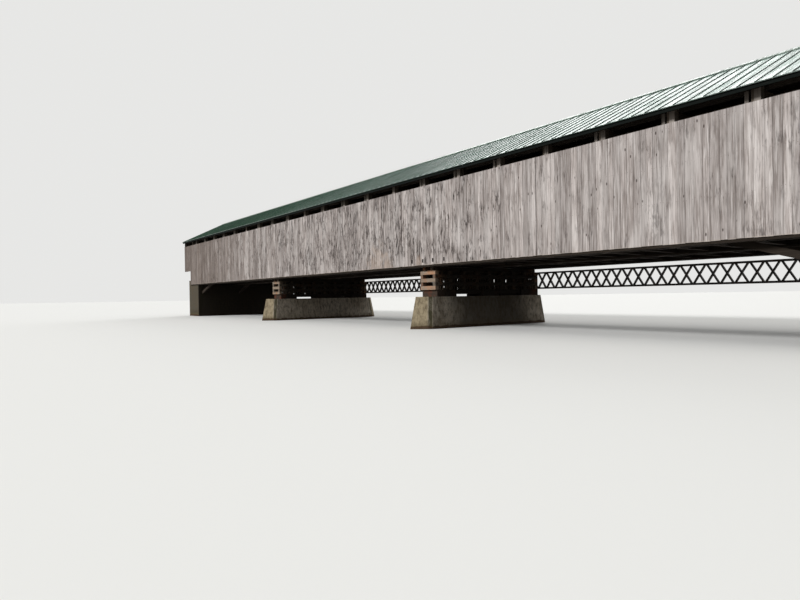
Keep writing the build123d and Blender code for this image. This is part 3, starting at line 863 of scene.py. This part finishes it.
nail_iron, tree, shader = finish_of("nail_iron", 0.6)
give(tree, shader, blend(tree, mottle(tree, (90, 90, 90), 3), rgb(74, 62, 54), rgb(112, 76, 54)))
rails = (2.230, 2.810, 3.390)
nail_radius, nail_deep, nail_set, nail_in = 0.0034, 0.006, 0.0026, 0.022
bpy.ops.object.select_all(action="DESELECT")
bpy.ops.mesh.primitive_cylinder_add(vertices=7, radius=nail_radius, depth=nail_deep,
                                    rotation=(math.pi / 2, 0, 0))
bpy.ops.object.transform_apply(location=True, rotation=True, scale=True)
nail = bpy.context.object
for side, sign, made in (("upstream", -1, siding_wood), ("downstream", 1, siding_rear)):
    low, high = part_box("siding_" + side)
    dice = random.Random(40 + sign)
    cuts = board_run(low.x, high.x, dice)
    outside = low.y if sign < 0 else high.y
    wall = upright_boards("siding_" + side + "_boards", cuts, low.z, high.z - 0.001, outside, dice, 0.010,
                          (3.56, -5.2, 7.9) if sign < 0 else (0.7,))
    coat(wall, made)
    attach(wall, "root")
    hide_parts("siding_" + side)
    places = []
    for start, stop in zip(cuts, cuts[1:]):
        for z in rails:
            for x in (start + nail_in, stop - nail_in):
                spot = (x + dice.uniform(-0.005, 0.005), outside - sign * nail_set,
                        z + dice.uniform(-0.02, 0.02))
                places.append(Matrix.Translation(spot))
    nails = lay(nail, "siding_nails_" + side, places, dice, keep=True)
    coat(nails, nail_iron)
    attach(nails, "root")
bpy.data.objects.remove(nail)


# Drain sleeves: four short rectangular tubes of dark metal through the upstream boards at the floor's
# level, the backs of their mouths painted black for the shade inside.
sleeve_metal = steel("sleeve_metal", rgb(52, 47, 44), rgb(88, 60, 46))
painted_mouth_shade, tree, shader = finish_of("painted_mouth_shade", 0.95)
give(tree, shader, blend(tree, mottle(tree, (40, 40, 40), 3), rgb(14, 12, 11), rgb(24, 21, 19)))
sleeve_x, sleeve_z, sleeve_in = (3.995, 4.420, 4.800, 5.205), 1.66, 0.003
sleeve_long, sleeve_thick, mouth_depth = 0.018, 0.003, 0.005
board_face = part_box("siding_upstream")[0].y
bpy.ops.object.select_all(action="DESELECT")
bpy.ops.mesh.primitive_cube_add(size=1, scale=(0.044, sleeve_long, 0.086))
sleeve = bpy.context.object
bpy.ops.object.transform_apply(location=True, rotation=True, scale=True)
stepped(sleeve, (0, -1, 0), sleeve_thick, (0, mouth_depth, 0))
dice = random.Random(3)
places = [Matrix.Translation((x, board_face + sleeve_in, sleeve_z)) for x in sleeve_x]
sleeves = lay(sleeve, "drain_sleeves", places, dice)
coat(sleeves, sleeve_metal)
# The back of each mouth is painted black for the shade inside it.
sleeves.data.materials.append(painted_mouth_shade)
inside = board_face + sleeve_in - sleeve_long / 2 + mouth_depth / 2
for face in sleeves.data.polygons:
    if face.normal.y < -0.9 and face.center.y > inside:
        face.material_index = 1
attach(sleeves, "root")


# Rails and eave boards: the three rails that the siding is nailed to, and the board along the
# rafters' tails, painted a dark green that has gone nearly black.
def rail_finish():
    """Bare wood, and old dark paint on what stands outside the siding's plane."""
    made = timber("rails_and_eaves", rgb(108, 100, 92), rgb(66, 59, 53), "X", snapped=(3, 0.09, 0.4))
    tree = made.node_tree
    shader = tree.nodes["Principled BSDF"]
    wood = shader.inputs["Base Color"].links[0].from_socket
    out = unsigned(tree, axis_of(tree, "Y"))
    worn = mottle(tree, (9, 60, 60), 5, low=0.55, high=0.7)
    paint = blend(tree, span(tree, worn, 0, 1, 0, 0.5), rgb(15, 20, 18), rgb(40, 40, 36))
    give(tree, shader, blend(tree, span(tree, out, 2.10, 2.12), wood, paint))
    return made


rail_wood = rail_finish()
coat(nodes["nailers_upstream"], rail_wood)
coat(nodes["nailers_downstream"], rail_wood)


# Post covers: a pale strip of board nailed on each post's outer face where it shows in the vent,
# above the top rail and under the rafter. Beside most posts a batten stands with a narrow slit
# between, and every fourth vent is left clear of it.
cover_z, cover_high = 3.5605, 0.245
cover_y, batten_y = 1.9868, 1.9735
cover_aside, batten_aside = 0.020, -0.128
cover = sawn("cover", (0.088, 0.011, cover_high), 0.0015)
batten = sawn("batten", (0.056, 0.014, cover_high), 0.0015)
cover_wood = timber("post_covers", rgb(184, 176, 168), rgb(136, 127, 119), "Z")
dice = random.Random(17)
places, beside = [], []
for sign in (-1, 1):
    for k in range(-11, 11):
        x = (k + 0.5) * bay
        places.append(Matrix.Translation((x + cover_aside, sign * cover_y, cover_z))
                      @ Matrix.Rotation(dice.uniform(-0.01, 0.01), 4, "Y"))
        if k % 4 != 2:
            beside.append(Matrix.Translation((x + batten_aside, sign * batten_y, cover_z)))
covers = joined([lay(cover, "post_covers", places, dice), lay(batten, "battens", beside, dice)],
                "post_covers")
coat(covers, cover_wood)
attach(covers, "root")


# Portal wings: the same upright boards, carried on past the end posts under the overhanging roof,
# two panels at each entrance.
low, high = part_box("portal_wings")
inner_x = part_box("siding_upstream")[1].x
wing_parts = []
dice = random.Random(61)
for sign in (-1, 1):
    for start, stop in ((-high.x + 0.001, -inner_x), (inner_x, high.x - 0.001)):
        cuts = board_run(start, stop, dice)
        wing_parts.append(upright_boards("wing", cuts, low.z, high.z - 0.001, sign * high.y, dice, 0.008))
wings = joined(wing_parts, "portal_wing_boards")
coat(wings, siding_rear)
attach(wings, "root")
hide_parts("portal_wings")


# Gables: upright boards in the triangle over each entrance, cut to the slopes, with a lintel board
# along the foot and two rake boards under the roof nailed over their ends.
trim_thick, trim_wide, gable_board_thick = 0.0055, 0.09, 0.007
gable_wood = siding_finish("gable_boards")
trim_wood = timber("gable_trim", rgb(188, 178, 170), rgb(134, 122, 114), "Y")
for side, sign in (("west", -1), ("east", 1)):
    low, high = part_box("gable_" + side)
    half, peak = high.y, high.z
    corner = max(v.co.z for v in nodes["gable_" + side].data.vertices if abs(v.co.y - half) < 0.0005)
    lean = math.atan((peak - corner) / half)
    outer = high.x if sign > 0 else low.x
    dice = random.Random(70 + sign)
    cuts = board_run(-half, half, dice)
    pattern = sawn("board", (gable_board_thick, 1, peak - low.z), 0.001)
    mark_across(pattern, "y")
    places = []
    for start, stop in zip(cuts, cuts[1:]):
        x = outer - sign * (trim_thick + gable_board_thick / 2 + dice.uniform(0.0005, 0.0015))
        places.append(Matrix.Translation((x, (start + stop) / 2, (low.z + peak) / 2))
                      @ Matrix.Diagonal((1, stop - start - dice.uniform(0.001, 0.003), 1, 1)))
    boards = lay(pattern, "gable_boards_" + side, places, dice)
    lintel = sawn("lintel", (trim_thick, 2 * half, trim_wide), 0.001)
    rake_board = sawn("rake_board", (trim_thick, half / math.cos(lean) + 0.2, trim_wide), 0.001)
    x = outer - sign * trim_thick / 2
    trims = [lay(lintel, "lintel", [Matrix.Translation((x, 0, low.z + trim_wide / 2))], dice)]
    for hand in (-1, 1):
        place = (Matrix.Translation((x, hand * half / 2, (peak + corner) / 2))
                 @ Matrix.Rotation(-hand * lean, 4, "X") @ Matrix.Translation((0, 0, -trim_wide / 2)))
        board = lay(rake_board, "rake_board", [place], dice, keep=True)
        bpy.ops.object.mode_set(mode="EDIT")
        for co, no in (((0, 0, 0), (0, -hand, 0)), ((0, hand * (half - 0.0005), 0), (0, hand, 0)),
                       ((0, 0, low.z + trim_wide), (0, 0, -1))):
            bpy.ops.mesh.select_all(action="SELECT")
            bpy.ops.mesh.bisect(plane_co=co, plane_no=no, use_fill=True, clear_outer=True)
        bpy.ops.object.mode_set(mode="OBJECT")
        trims.append(board)
    bpy.data.objects.remove(rake_board)
    bpy.ops.object.select_all(action="DESELECT")
    boards.select_set(True)
    bpy.context.view_layer.objects.active = boards
    bpy.ops.object.mode_set(mode="EDIT")
    for hand in (-1, 1):
        bpy.ops.mesh.select_all(action="SELECT")
        bpy.ops.mesh.bisect(plane_co=(0, 0, peak - 0.0005), use_fill=True, clear_outer=True,
                            plane_no=(0, hand * math.sin(lean), math.cos(lean)))
    bpy.ops.object.mode_set(mode="OBJECT")
    coat(boards, gable_wood)
    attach(boards, "root")
    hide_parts("gable_" + side)
    trim = joined(trims, "gable_trim_" + side)
    coat(trim, trim_wood)
    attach(trim, "root")
